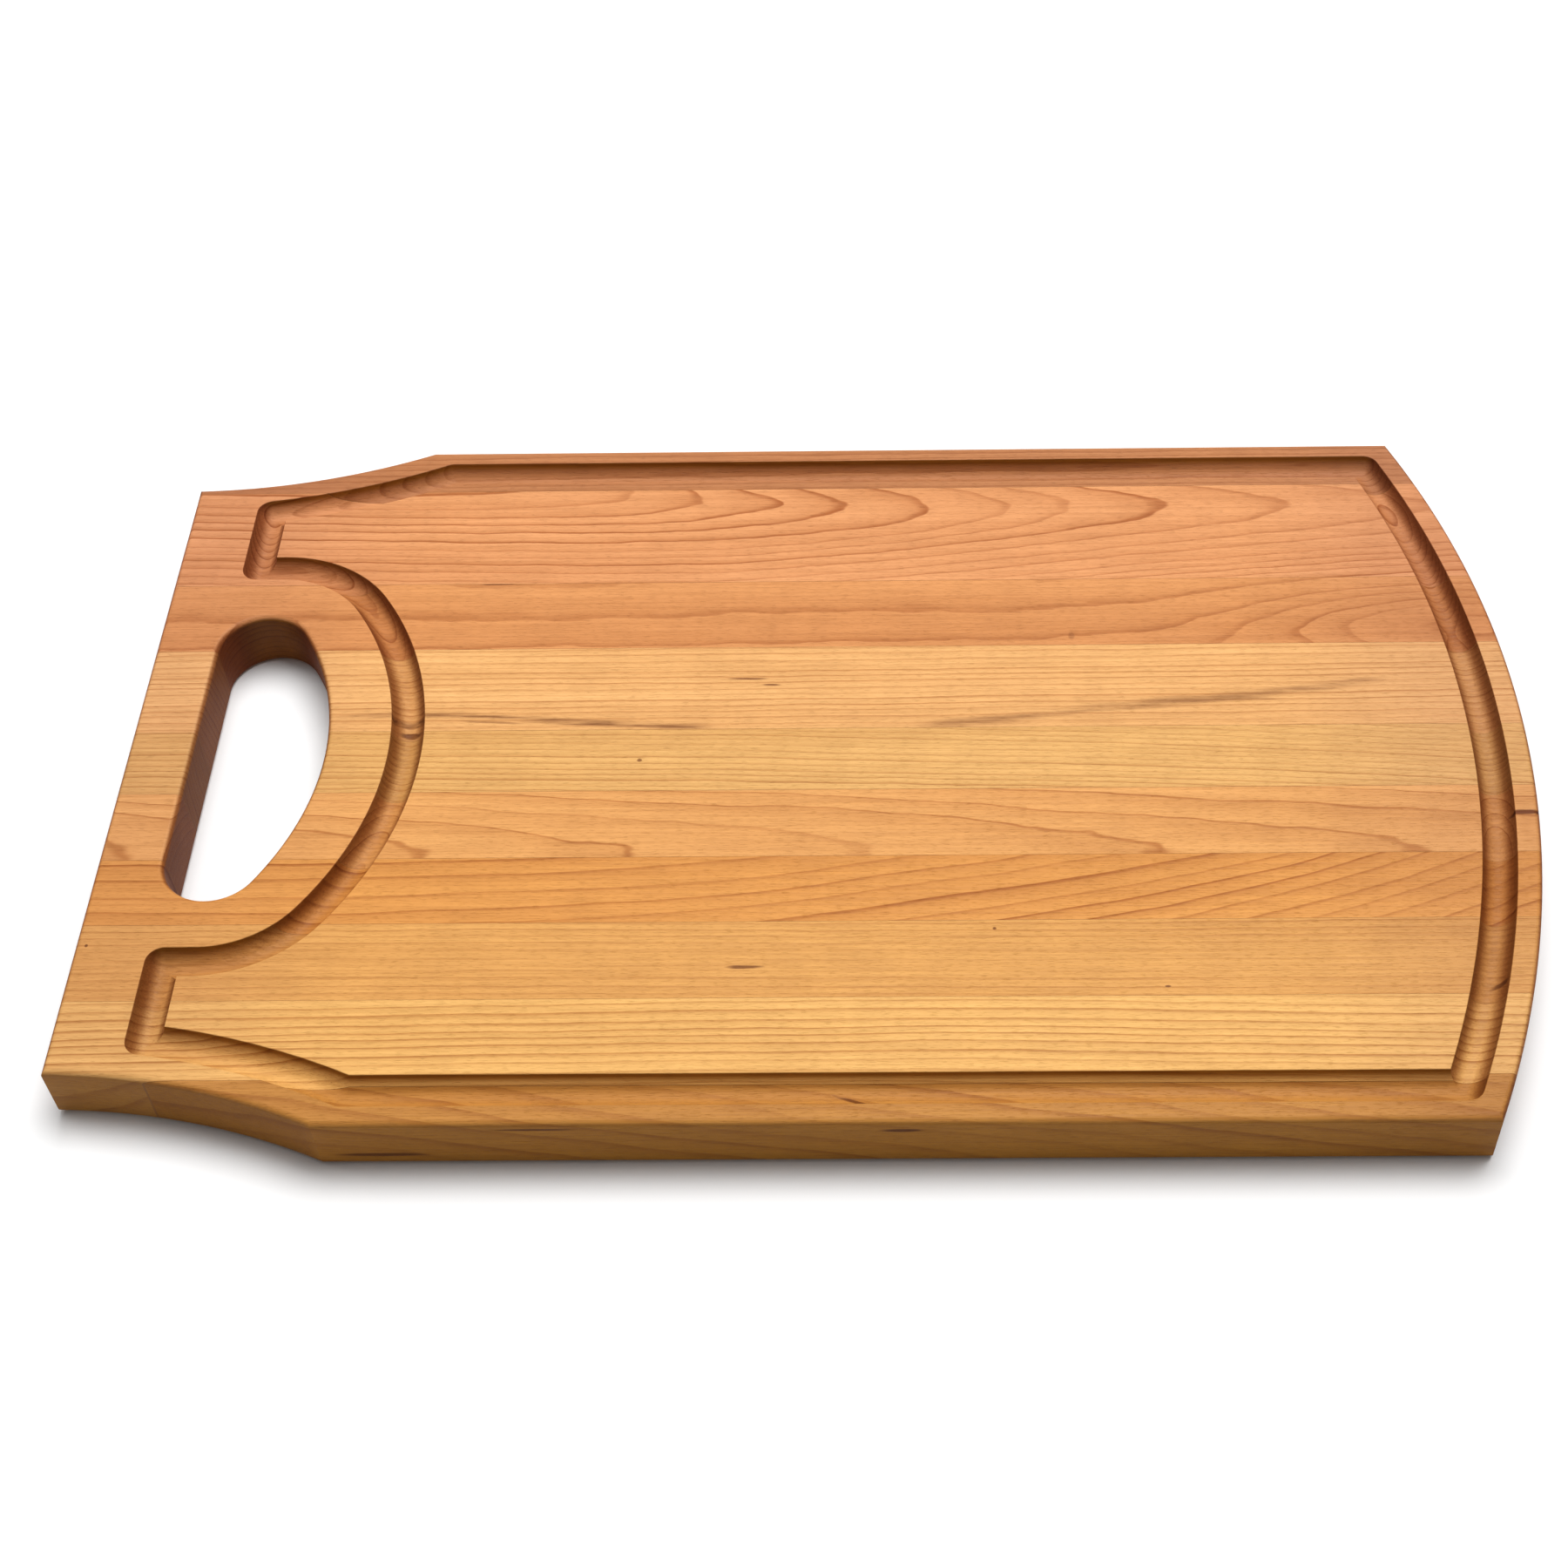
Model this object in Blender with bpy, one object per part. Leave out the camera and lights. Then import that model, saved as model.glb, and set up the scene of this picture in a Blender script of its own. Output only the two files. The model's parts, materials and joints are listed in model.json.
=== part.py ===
"""Cutting board glued up from ten cherry staves, with a D-shaped hand hole and a routed juice groove.

The board lies flat: X runs from the handle end to the rounded end, Y across the staves and Z up.
The origin is the centre of the board's plan on its underside. All lengths are in metres.
"""
from math import acos, asin, atan2, cos, pi, radians, sin, sqrt

import bmesh
import bpy
from mathutils import Vector

# Whole board
LENGTH = 0.4064
WIDTH = 0.254
THICKNESS = 0.01905
HANDLE_END_X = -LENGTH / 2
ROUND_END_X = LENGTH / 2
EDGE_EASE = 0.0016

# Rounded end: one arc through both corners and the far point
END_RADIUS = 0.321

# Concave tapers from the handle end out to the shoulders
HANDLE_END_WIDTH = 0.2212
TAPER_LENGTH = 0.0734
TAPER_SAG = 0.0037

# Hand hole: a straight wall next to the handle end and a bowed far side with round tips
HOLE_WALL_FROM_END = 0.0188
HOLE_APEX_FROM_END = 0.0574
HOLE_HALF_LENGTH = 0.0537
HOLE_FAR_RADIUS = 0.090
HOLE_TIP_RADIUS = 0.014

# Juice groove, cut half a circle deep with a round-nose cutter 3/8 inch across
GROOVE_RADIUS = 0.0047625
GROOVE_DEPTH = GROOVE_RADIUS
GROOVE_SIDE_INSET = 0.0105
GROOVE_END_INSET = 0.0117
GROOVE_TAPER_INSET = 0.0125
GROOVE_RUN_FROM_END = 0.0251

# Bend of the groove round the far side of the hand hole
BEND_APEX_FROM_END = 0.0809
BEND_HALF_LENGTH = 0.0749
BEND_FAR_RADIUS = 0.105
BEND_TIP_RADIUS = 0.036

# Staves from the back edge to the front edge: name, width and colour
STAVES = [
    ("a", 0.0187, (0.46, 0.21, 0.10)),
    ("b", 0.0411, (0.58, 0.28, 0.13)),
    ("c", 0.0275, (0.52, 0.24, 0.11)),
    ("d", 0.0324, (0.70, 0.42, 0.19)),
    ("e", 0.0232, (0.66, 0.40, 0.17)),
    ("f", 0.0241, (0.61, 0.33, 0.14)),
    ("g", 0.0227, (0.58, 0.29, 0.11)),
    ("h", 0.0253, (0.60, 0.34, 0.14)),
    ("i", 0.0252, (0.72, 0.45, 0.18)),
    ("j", 0.0138, (0.45, 0.24, 0.09)),
]
JOINT_GAP = 0.0003
GLUE_THICKNESS = 0.0001
GLUE_COLOUR = (0.20, 0.09, 0.04)
WOOD_ROUGHNESS = 0.42
GLUE_ROUGHNESS = 0.55

# Facets
END_ARC_STEPS = 24
TAPER_STEPS = 8
BOW_FAR_STEPS = 12
BOW_TIP_STEPS = 7
CORNER_STEPS = 7
GROOVE_SECTION_STEPS = 8
GROOVE_FAN_ANGLE = radians(22.5)
SHARP_TURN = radians(15)

# Slabs, guides and cutters reach this far past what they cut
OVERCUT = 0.010


def clear_scene():
    for scene_object in list(bpy.data.objects):
        bpy.data.objects.remove(scene_object, do_unlink=True)


def new_collection(name):
    collection = bpy.data.collections.new(name)
    bpy.context.scene.collection.children.link(collection)
    return collection


def arc_points(centre, radius, start, end, steps):
    """Points on a circle from the start angle to the end angle, both included."""
    points = []
    for step in range(steps + 1):
        angle = start + (end - start) * step / steps
        points.append(Vector((centre.x + radius * cos(angle), centre.y + radius * sin(angle))))
    return points


def mirrored(points):
    """The same points across the board's centre line, in the opposite order."""
    return [Vector((point.x, -point.y)) for point in reversed(points)]


def taper_circle():
    """Centre and radius of the back taper's circle, which lies outside the board."""
    start = Vector((HANDLE_END_X, HANDLE_END_WIDTH / 2))
    shoulder = Vector((HANDLE_END_X + TAPER_LENGTH, WIDTH / 2))
    half_chord = (shoulder - start).length / 2
    radius = (half_chord ** 2 + TAPER_SAG ** 2) / (2 * TAPER_SAG)
    along = (shoulder - start).normalized()
    outward = Vector((-along.y, along.x))
    centre = (start + shoulder) / 2 + outward * (radius - TAPER_SAG)
    return centre, radius


def angle_at(centre, point):
    return atan2(point.y - centre.y, point.x - centre.x)


def board_outline():
    """Board outline, anticlockwise from the front corner of the handle end."""
    centre, radius = taper_circle()
    start = Vector((HANDLE_END_X, HANDLE_END_WIDTH / 2))
    shoulder = Vector((HANDLE_END_X + TAPER_LENGTH, WIDTH / 2))
    back_taper = arc_points(
        centre, radius, angle_at(centre, shoulder), angle_at(centre, start), TAPER_STEPS
    )
    half_angle = asin(WIDTH / 2 / END_RADIUS)
    end_centre = Vector((ROUND_END_X - END_RADIUS, 0))
    end_arc = arc_points(end_centre, END_RADIUS, -half_angle, half_angle, END_ARC_STEPS)
    return mirrored(back_taper) + end_arc + back_taper


def bow_circles(apex_from_end, half_length, far_radius, tip_radius):
    """Centres of a bow's far circle and of its back tip circle, which touches it from inside."""
    far_centre = Vector((HANDLE_END_X + apex_from_end - far_radius, 0))
    tip_height = half_length - tip_radius
    reach = sqrt((far_radius - tip_radius) ** 2 - tip_height ** 2)
    return far_centre, Vector((far_centre.x + reach, tip_height))


def bow_points(apex_from_end, half_length, far_radius, tip_radius):
    """Three touching arcs from the front tip round the far side to the back tip."""
    far_centre, tip_centre = bow_circles(apex_from_end, half_length, far_radius, tip_radius)
    join = angle_at(far_centre, tip_centre)
    far_side = arc_points(far_centre, far_radius, -join, join, BOW_FAR_STEPS)
    back_tip = arc_points(tip_centre, tip_radius, join, pi / 2, BOW_TIP_STEPS)
    return mirrored(back_tip) + far_side[1:-1] + back_tip


def hole_tip_x():
    circles = bow_circles(HOLE_APEX_FROM_END, HOLE_HALF_LENGTH, HOLE_FAR_RADIUS, HOLE_TIP_RADIUS)
    return circles[1].x


def hole_corner_radius():
    """Radius of the quarter circle between each tip and the straight wall."""
    return hole_tip_x() - HANDLE_END_X - HOLE_WALL_FROM_END


def hand_hole_outline():
    """Hand hole outline, anticlockwise from the front tip."""
    bow = bow_points(HOLE_APEX_FROM_END, HOLE_HALF_LENGTH, HOLE_FAR_RADIUS, HOLE_TIP_RADIUS)
    radius = hole_corner_radius()
    corner_centre = Vector((hole_tip_x(), HOLE_HALF_LENGTH - radius))
    corner = arc_points(corner_centre, radius, pi / 2, pi, CORNER_STEPS)[1:]
    return bow + corner + mirrored(corner)


def groove_path():
    """Closed centre line of the groove, clockwise from the back corner of the rounded end."""
    centre, taper_radius = taper_circle()
    radius = taper_radius + GROOVE_TAPER_INSET
    side_y = WIDTH / 2 - GROOVE_SIDE_INSET
    run_x = HANDLE_END_X + GROOVE_RUN_FROM_END
    shoulder_angle = asin((side_y - centre.y) / radius)
    corner_angle = -acos((run_x - centre.x) / radius)
    back_taper = arc_points(centre, radius, corner_angle, shoulder_angle, TAPER_STEPS)
    end_radius = END_RADIUS - GROOVE_END_INSET
    end_centre = Vector((ROUND_END_X - END_RADIUS, 0))
    half_angle = asin(side_y / end_radius)
    end_run = arc_points(end_centre, end_radius, half_angle, -half_angle, END_ARC_STEPS)
    bend = bow_points(BEND_APEX_FROM_END, BEND_HALF_LENGTH, BEND_FAR_RADIUS, BEND_TIP_RADIUS)
    bend_start = Vector((run_x, -BEND_HALF_LENGTH))
    bend_end = Vector((run_x, BEND_HALF_LENGTH))
    return end_run + mirrored(back_taper) + [bend_start] + bend + [bend_end] + back_taper


def left_normal(start, end):
    along = (end - start).normalized()
    return Vector((-along.y, along.x))


def groove_stations(path):
    """Offset directions along the path: (point, outer direction, inner direction).

    Every corner turns towards the island inside the loop, so the island's corner is a sharp mitre
    and the outer side is rounded by the turning cutter.
    """
    stations = []
    count = len(path)
    for index, point in enumerate(path):
        before = left_normal(path[index - 1], point)
        after = left_normal(point, path[(index + 1) % count])
        mitre = (before + after) / (1 + before.dot(after))
        turn = before.angle(after)
        if turn < SHARP_TURN:
            stations.append((point, mitre, -mitre))
            continue
        fan_steps = max(2, round(turn / GROOVE_FAN_ANGLE))
        for step in range(fan_steps + 1):
            angle = -turn * step / fan_steps
            outer = Vector((
                before.x * cos(angle) - before.y * sin(angle),
                before.x * sin(angle) + before.y * cos(angle),
            ))
            stations.append((point, outer, -mitre))
    return stations


def groove_section():
    """Round-nose section as (sideways, height): positive sideways is the outer side."""
    top = THICKNESS + OVERCUT
    axis_height = THICKNESS - GROOVE_DEPTH + GROOVE_RADIUS
    section = [(-GROOVE_RADIUS, top)]
    for step in range(GROOVE_SECTION_STEPS + 1):
        angle = pi * step / GROOVE_SECTION_STEPS
        section.append((-GROOVE_RADIUS * cos(angle), axis_height - GROOVE_RADIUS * sin(angle)))
    section.append((GROOVE_RADIUS, top))
    return section


def make_groove_cutter(collection):
    """Section swept round the closed path, with mitred and rounded corners."""
    stations = groove_stations(groove_path())
    section = groove_section()
    sweep = bmesh.new()
    rings = []
    for point, outer, inner in stations:
        ring = []
        for sideways, height in section:
            direction = outer if sideways > 0 else inner
            place = point + direction * abs(sideways)
            ring.append(sweep.verts.new((place.x, place.y, height)))
        rings.append(ring)
    for index, ring in enumerate(rings):
        next_ring = rings[(index + 1) % len(rings)]
        for corner in range(len(section)):
            other = (corner + 1) % len(section)
            sweep.faces.new((ring[corner], ring[other], next_ring[other], next_ring[corner]))
    bmesh.ops.remove_doubles(sweep, verts=sweep.verts, dist=0.000001)
    bmesh.ops.recalc_face_normals(sweep, faces=sweep.faces)
    mesh = bpy.data.meshes.new("groove_cutter")
    sweep.to_mesh(mesh)
    sweep.free()
    return add_guide("groove_cutter", mesh, collection)


def add_guide(name, mesh, collection):
    guide = bpy.data.objects.new(name, mesh)
    guide.hide_render = True
    guide.display_type = "WIRE"
    collection.objects.link(guide)
    return guide


def add_cyclic_spline(curve, points):
    spline = curve.splines.new("POLY")
    spline.points.add(len(points) - 1)
    for spline_point, point in zip(spline.points, points):
        spline_point.co = (point.x, point.y, 0, 1)
    spline.use_cyclic_u = True


def make_board_blank(collection):
    """Board with its hand hole and eased edges, before it is parted into staves."""
    curve = bpy.data.curves.new("board_blank", "CURVE")
    curve.dimensions = "2D"
    curve.fill_mode = "BOTH"
    curve.extrude = THICKNESS / 2 - EDGE_EASE
    curve.bevel_depth = EDGE_EASE
    curve.bevel_resolution = 1
    curve.offset = -EDGE_EASE
    add_cyclic_spline(curve, board_outline())
    add_cyclic_spline(curve, hand_hole_outline())
    flat = bpy.data.objects.new("board_blank_curve", curve)
    flat.location.z = THICKNESS / 2
    collection.objects.link(flat)
    bpy.context.view_layer.update()
    evaluated = flat.evaluated_get(bpy.context.evaluated_depsgraph_get())
    mesh = bpy.data.meshes.new_from_object(evaluated)
    welded = bmesh.new()
    welded.from_mesh(mesh)
    bmesh.ops.remove_doubles(welded, verts=welded.verts, dist=0.000001)
    bmesh.ops.recalc_face_normals(welded, faces=welded.faces)
    welded.to_mesh(mesh)
    welded.free()
    blank = add_guide("board_blank", mesh, collection)
    blank.matrix_world = flat.matrix_world.copy()
    bpy.data.objects.remove(flat, do_unlink=True)
    return blank


def make_material(name, colour, roughness):
    material = bpy.data.materials.new(name)
    material.use_nodes = True
    shader = material.node_tree.nodes["Principled BSDF"]
    shader.inputs["Base Color"].default_value = (*colour, 1)
    shader.inputs["Roughness"].default_value = roughness
    shader.inputs["Metallic"].default_value = 0
    return material


def make_slab(name, x_range, y_range, material, collection):
    """Box through the whole thickness of the board, ready to be cut to the board's shape."""
    size = Vector((x_range[1] - x_range[0], y_range[1] - y_range[0], THICKNESS + 2 * OVERCUT))
    middle = Vector((sum(x_range) / 2, sum(y_range) / 2, THICKNESS / 2))
    slab_mesh = bmesh.new()
    bmesh.ops.create_cube(slab_mesh, size=1)
    bmesh.ops.scale(slab_mesh, vec=size, verts=slab_mesh.verts)
    mesh = bpy.data.meshes.new(name)
    slab_mesh.to_mesh(mesh)
    slab_mesh.free()
    mesh.materials.append(material)
    slab = bpy.data.objects.new(name, mesh)
    slab.location = middle
    collection.objects.link(slab)
    return slab


def cut_to_board(slab, blank, groove_cutter, board_root):
    """Keep what lies inside the blank and take the groove away."""
    inside = slab.modifiers.new("board_shape", "BOOLEAN")
    inside.operation = "INTERSECT"
    inside.object = blank
    groove = slab.modifiers.new("juice_groove", "BOOLEAN")
    groove.operation = "DIFFERENCE"
    groove.object = groove_cutter
    slab.parent = board_root


def x_ranges(low_y, high_y):
    """Stretches of a strip between two heights: whole, or parted by the hand hole."""
    past_handle_end = HANDLE_END_X - OVERCUT
    past_round_end = ROUND_END_X + OVERCUT
    straight_half_length = HOLE_HALF_LENGTH - hole_corner_radius()
    if high_y < straight_half_length and low_y > -straight_half_length:
        tip_x = hole_tip_x()
        return {"_main": (tip_x, past_round_end), "_grip": (past_handle_end, tip_x)}
    return {"": (past_handle_end, past_round_end)}


def build_board():
    clear_scene()
    parts = new_collection("cutting_board")
    cutters = new_collection("cutters")
    blank = make_board_blank(cutters)
    groove_cutter = make_groove_cutter(cutters)
    board_root = bpy.data.objects.new("cutting_board_root", None)
    parts.objects.link(board_root)

    glue_material = make_material("glue", GLUE_COLOUR, GLUE_ROUGHNESS)
    back_y = WIDTH / 2
    previous_letter = None
    for letter, width, colour in STAVES:
        front_y = back_y - width
        wood = make_material("cherry_" + letter, colour, WOOD_ROUGHNESS)
        low_y = front_y + JOINT_GAP / 2
        high_y = back_y - JOINT_GAP / 2
        if letter == STAVES[0][0]:
            high_y = back_y + OVERCUT
        if letter == STAVES[-1][0]:
            low_y = front_y - OVERCUT
        for suffix, x_range in x_ranges(low_y, high_y).items():
            name = "stave_" + letter + suffix
            stave = make_slab(name, x_range, (low_y, high_y), wood, parts)
            cut_to_board(stave, blank, groove_cutter, board_root)
        if previous_letter:
            low_y = back_y - GLUE_THICKNESS / 2
            high_y = back_y + GLUE_THICKNESS / 2
            for suffix, x_range in x_ranges(low_y, high_y).items():
                name = "glue_line_" + previous_letter + letter + suffix
                glue = make_slab(name, x_range, (low_y, high_y), glue_material, parts)
                cut_to_board(glue, blank, groove_cutter, board_root)
        back_y = front_y
        previous_letter = letter


build_board()
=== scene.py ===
"""Looks for the edge-glued cherry cutting board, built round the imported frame.

Every CAD node is replaced by a fine mesh of the same shape and size: staves that meet along
hairline glue lines, rounded arrises and a smooth half-round juice groove. The wood is solid in its
shader: each stave has its own heart line, ring spacing, taper and colour, so end grain and long
grain agree. X runs along the staves from the handle end, Y towards the back edge and Z up, in
metres, and the middle of the underside is at zero.
"""
import json
from math import acos, asin, atan2, cos, pi, radians, sin, sqrt

import bmesh
import bpy
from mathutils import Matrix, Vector


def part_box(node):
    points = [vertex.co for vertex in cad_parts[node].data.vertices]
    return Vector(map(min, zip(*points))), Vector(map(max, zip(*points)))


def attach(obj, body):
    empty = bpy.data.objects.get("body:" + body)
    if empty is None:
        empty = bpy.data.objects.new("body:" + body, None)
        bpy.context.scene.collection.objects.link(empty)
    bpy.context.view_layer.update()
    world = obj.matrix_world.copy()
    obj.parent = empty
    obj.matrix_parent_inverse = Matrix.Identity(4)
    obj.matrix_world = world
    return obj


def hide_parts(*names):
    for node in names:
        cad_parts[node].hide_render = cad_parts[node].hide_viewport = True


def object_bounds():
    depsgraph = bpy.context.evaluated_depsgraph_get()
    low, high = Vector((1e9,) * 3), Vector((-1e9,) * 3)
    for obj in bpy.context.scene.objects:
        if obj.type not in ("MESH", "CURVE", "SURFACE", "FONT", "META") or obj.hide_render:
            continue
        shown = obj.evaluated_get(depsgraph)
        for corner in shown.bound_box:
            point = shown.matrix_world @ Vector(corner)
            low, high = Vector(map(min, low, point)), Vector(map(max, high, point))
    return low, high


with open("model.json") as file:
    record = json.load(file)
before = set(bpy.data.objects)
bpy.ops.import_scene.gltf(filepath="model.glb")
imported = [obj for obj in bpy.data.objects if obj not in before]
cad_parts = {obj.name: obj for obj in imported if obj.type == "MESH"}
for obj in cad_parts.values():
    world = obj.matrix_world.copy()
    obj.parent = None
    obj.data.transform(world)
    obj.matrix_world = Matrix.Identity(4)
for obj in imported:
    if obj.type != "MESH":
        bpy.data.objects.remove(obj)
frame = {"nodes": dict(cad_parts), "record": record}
cad_low, cad_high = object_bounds()

# The board's box, and the design's other driving dimensions. A bow is given by its apex's distance
# from the handle end, its half length, its far side's radius and its tips' radius
HANDLE_END_X = cad_low.x
ROUND_END_X = cad_high.x
WIDTH = cad_high.y - cad_low.y
TOP = cad_high.z
EDGE_EASE = 0.0016
END_RADIUS = 0.321
HANDLE_END_WIDTH = 0.2212
TAPER_LENGTH = 0.0734
TAPER_SAG = 0.0037
HOLE_WALL_FROM_END = 0.0188
HOLE_BOW = (0.0574, 0.0537, 0.090, 0.014)
GROOVE_RADIUS = 0.0047625
GROOVE_LIP = 0.00025
GROOVE_SIDE_INSET = 0.0105
GROOVE_END_INSET = 0.0117
GROOVE_TAPER_INSET = 0.0125
GROOVE_RUN_FROM_END = 0.0251
BEND_BOW = (0.0809, 0.0749, 0.105, 0.036)

# Joints: the CAD leaves a gap on both sides of each glue film. Here the film is a little thinner, and
# the staves close in to 0.01 mm from it
HALF_GLUE = 0.00004
JOINT_CLOSING = 0.00010

# Facets
END_ARC_STEPS = 96
TAPER_STEPS = 24
GROOVE_END_STEPS = 40
GROOVE_TAPER_STEPS = 8
BOW_FAR_STEPS = 48
BOW_TIP_STEPS = 24
CORNER_STEPS = 20
ARRIS_RESOLUTION = 4
GROOVE_SECTION_STEPS = 28
LIP_STEPS = 3
GROOVE_FAN_ANGLE = radians(6)
SHARP_TURN = radians(15)
OVERCUT = 0.010
WELD_DISTANCE = 0.000001
FLAT_NORMAL = 0.99999
SMOOTH_UP_TO = radians(30)

# Wood: inputs of the shader group, apart from the pale wood's colour
RING_INPUTS = ("Heart Y", "Heart Z", "Taper", "Spacing", "Line", "Width", "Wave", "Seed", "Figure")

# Growth rings: a dark line is full at RING_END of the way through a ring and fades after RING_FALL
RING_END = 0.93
RING_FALL = 0.94
RING_WOBBLE = 0.0010
RING_UNEVENNESS = 1.6
UNEVENNESS_PER_RING = 0.31
FAINTEST_RING = 0.4

# Streaks of noise: cycles a metre along and across the grain, then detail and roughness
WAVE_NOISE = (6, 16, 3)
WOBBLE_NOISE = (50, 130)
BROKEN_LINE_NOISE = (30, 260)
BAND_NOISE = (3, 80, 3)
FIBRE_NOISE = (30, 1700, 3, 0.6)
PORE_NOISE = (320, 4200, 1)
MOTTLE_NOISE = (95, 50)
SMUDGE_NOISE = (9, 14)
DRIFT_NOISE = (70, 30)
FLECK_NOISE = (160, 700)
STREAK_EDGE_NOISE = (30, 500, 3)
STREAK_PATCH_NOISE = (45, 400, 3)
GLUE_NOISE = (60, 300, 3)

# Wood colours, as what the pale wood is multiplied by
DEEP_WOOD = (0.84, 0.77, 0.70)
RING_WOOD = (0.52, 0.34, 0.20)
DARK_FIBRE = (0.90, 0.87, 0.82)
LIGHT_FIBRE = (1.09, 1.11, 1.14)
DARK_MOTTLE = (0.97, 0.965, 0.96)
LIGHT_MOTTLE = (1.03, 1.035, 1.04)
PORE_WOOD = (0.45, 0.33, 0.24)
PORE_STRENGTH = 0.24
END_WOOD = (0.48, 0.34, 0.26)
SOAKED_WOOD = (0.87, 0.85, 0.95)
# Painted shade in the groove
RECESS_SHADE_WOOD = (0.97, 0.95, 0.90)
# Groove across the grain: the cut grain's own darker colour and painted shade
CROSSING_GRAIN_AND_SHADE = (0.82, 0.76, 0.72)
CHATTER_WOOD = (0.93, 0.91, 0.89)
# Painted shade on the hand hole's walls
HOLE_SHADE_WOOD = (0.66, 0.53, 0.40)
MARK_WOOD = (0.24, 0.13, 0.07)

# Painted shade: the long sides are darkened to nearly one tone, whatever the stave
SIDE_SHADE_TONE = (0.34, 0.139, 0.0125)
SIDE_SHADE_EVENNESS = 0.85

# Where the wood darkens: each pair is where a change starts and where it is complete
SOAKED_X = (0.120, 0.190)
# Painted shade in the groove, by depth below the top
RECESS_SHADE_DEPTH = (0.0001, 0.0018)
CROSSING_DEPTH = (0.0006, 0.0022)
CROSSING_Y = (0.108, 0.085)
CHATTER_PER_METRE = 480
CHATTER_DRIFT = 4
# Painted shade on the hand hole's walls: where it starts and where it is full
HOLE_SHADE_DEPTH = (0.0004, 0.0020)
HOLE_SHADE_NEAR_X = (HANDLE_END_X + 0.012, HANDLE_END_X + 0.016)
HOLE_SHADE_FAR_X = (HANDLE_END_X + 0.066, HANDLE_END_X + 0.062)
HOLE_SHADE_Y = (0.060, 0.056)

# Finish: each bump has a strength and a distance. Heights and roughnesses add up
WOOD_SPECULAR = 0.12
WOOD_ROUGHNESS = 0.40
FIBRE_ROUGHNESS = 0.08
END_ROUGHNESS = 0.12
SMUDGE_ROUGHNESS = 0.08
FIBRE_HEIGHT = 0.4
PORE_HEIGHT = -0.6
RING_HEIGHT = 0.25
CHATTER_HEIGHT = 0.3
WOOD_BUMP = (0.6, 0.00014)
GLUE_BUMP = (0.3, 0.00005)
DARK_GLUE = (0.16, 0.066, 0.018)
LIGHT_GLUE = (0.26, 0.112, 0.030)

# Studio: each softbox has a name, a place, a size and a power
FLOOR_HALF_SIZE = 6.0
FLOOR_DROP = 0.0002
FLOOR_COLOUR = (0.80, 0.80, 0.80)
WORLD_STRENGTH = 0.21
LIGHTS = (
    ("top_softbox", (0.22, 0.45, 1.45), (1.4, 0.9), 16),
    ("side_softbox", (-0.9, 0.35, 0.9), (0.6, 0.6), 2.5),
)
SUN_FROM = (0.15, 0.35, 1.0)
SUN_STRENGTH = 2.12
SUN_ANGLE = 0.75
LENS_MM = 56.2
SENSOR_MM = 36
CLIP_START = 0.01
CAMERA_SHIFT = -0.0833
CAMERA_PLACE = (0.03575, -0.46207, 0.55687)
CAMERA_TURN = (0.6944, 0.0155, 0.0035)


def arc_points(centre, radius, start, end, steps):
    """Points on a circle from the start angle to the end angle, both included."""
    points = []
    for step in range(steps + 1):
        angle = start + (end - start) * step / steps
        points.append(Vector((centre.x + radius * cos(angle), centre.y + radius * sin(angle))))
    return points


def mirrored(points):
    """The same points across the board's centre line, in the opposite order."""
    return [Vector((point.x, -point.y)) for point in reversed(points)]


def angle_at(centre, point):
    """Angle at which a point is seen from a circle's centre."""
    return atan2(point.y - centre.y, point.x - centre.x)


def taper_circle():
    """Centre and radius of the back taper's circle, which lies outside the board."""
    start = Vector((HANDLE_END_X, HANDLE_END_WIDTH / 2))
    shoulder = Vector((HANDLE_END_X + TAPER_LENGTH, WIDTH / 2))
    half_chord = (shoulder - start).length / 2
    radius = (half_chord ** 2 + TAPER_SAG ** 2) / (2 * TAPER_SAG)
    along = (shoulder - start).normalized()
    centre = (start + shoulder) / 2 + Vector((-along.y, along.x)) * (radius - TAPER_SAG)
    return centre, radius


def bow_circles(apex_from_end, half_length, far_radius, tip_radius):
    """Centres of a bow's far circle and of its back tip circle, which touches it from inside."""
    far_centre = Vector((HANDLE_END_X + apex_from_end - far_radius, 0))
    tip_height = half_length - tip_radius
    reach = sqrt((far_radius - tip_radius) ** 2 - tip_height ** 2)
    return far_centre, Vector((far_centre.x + reach, tip_height))


def bow_points(apex_from_end, half_length, far_radius, tip_radius):
    """Three touching arcs from the front tip round the far side to the back tip."""
    far_centre, tip_centre = bow_circles(apex_from_end, half_length, far_radius, tip_radius)
    join = angle_at(far_centre, tip_centre)
    far_side = arc_points(far_centre, far_radius, -join, join, BOW_FAR_STEPS)
    back_tip = arc_points(tip_centre, tip_radius, join, pi / 2, BOW_TIP_STEPS)
    return mirrored(back_tip) + far_side[1:-1] + back_tip


def board_outline():
    """Board outline, anticlockwise from the front corner of the handle end."""
    centre, radius = taper_circle()
    start = Vector((HANDLE_END_X, HANDLE_END_WIDTH / 2))
    shoulder = Vector((HANDLE_END_X + TAPER_LENGTH, WIDTH / 2))
    back_taper = arc_points(
        centre, radius, angle_at(centre, shoulder), angle_at(centre, start), TAPER_STEPS
    )
    half_angle = asin(WIDTH / 2 / END_RADIUS)
    end_centre = Vector((ROUND_END_X - END_RADIUS, 0))
    end_arc = arc_points(end_centre, END_RADIUS, -half_angle, half_angle, END_ARC_STEPS)
    return mirrored(back_taper) + end_arc + back_taper


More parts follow.
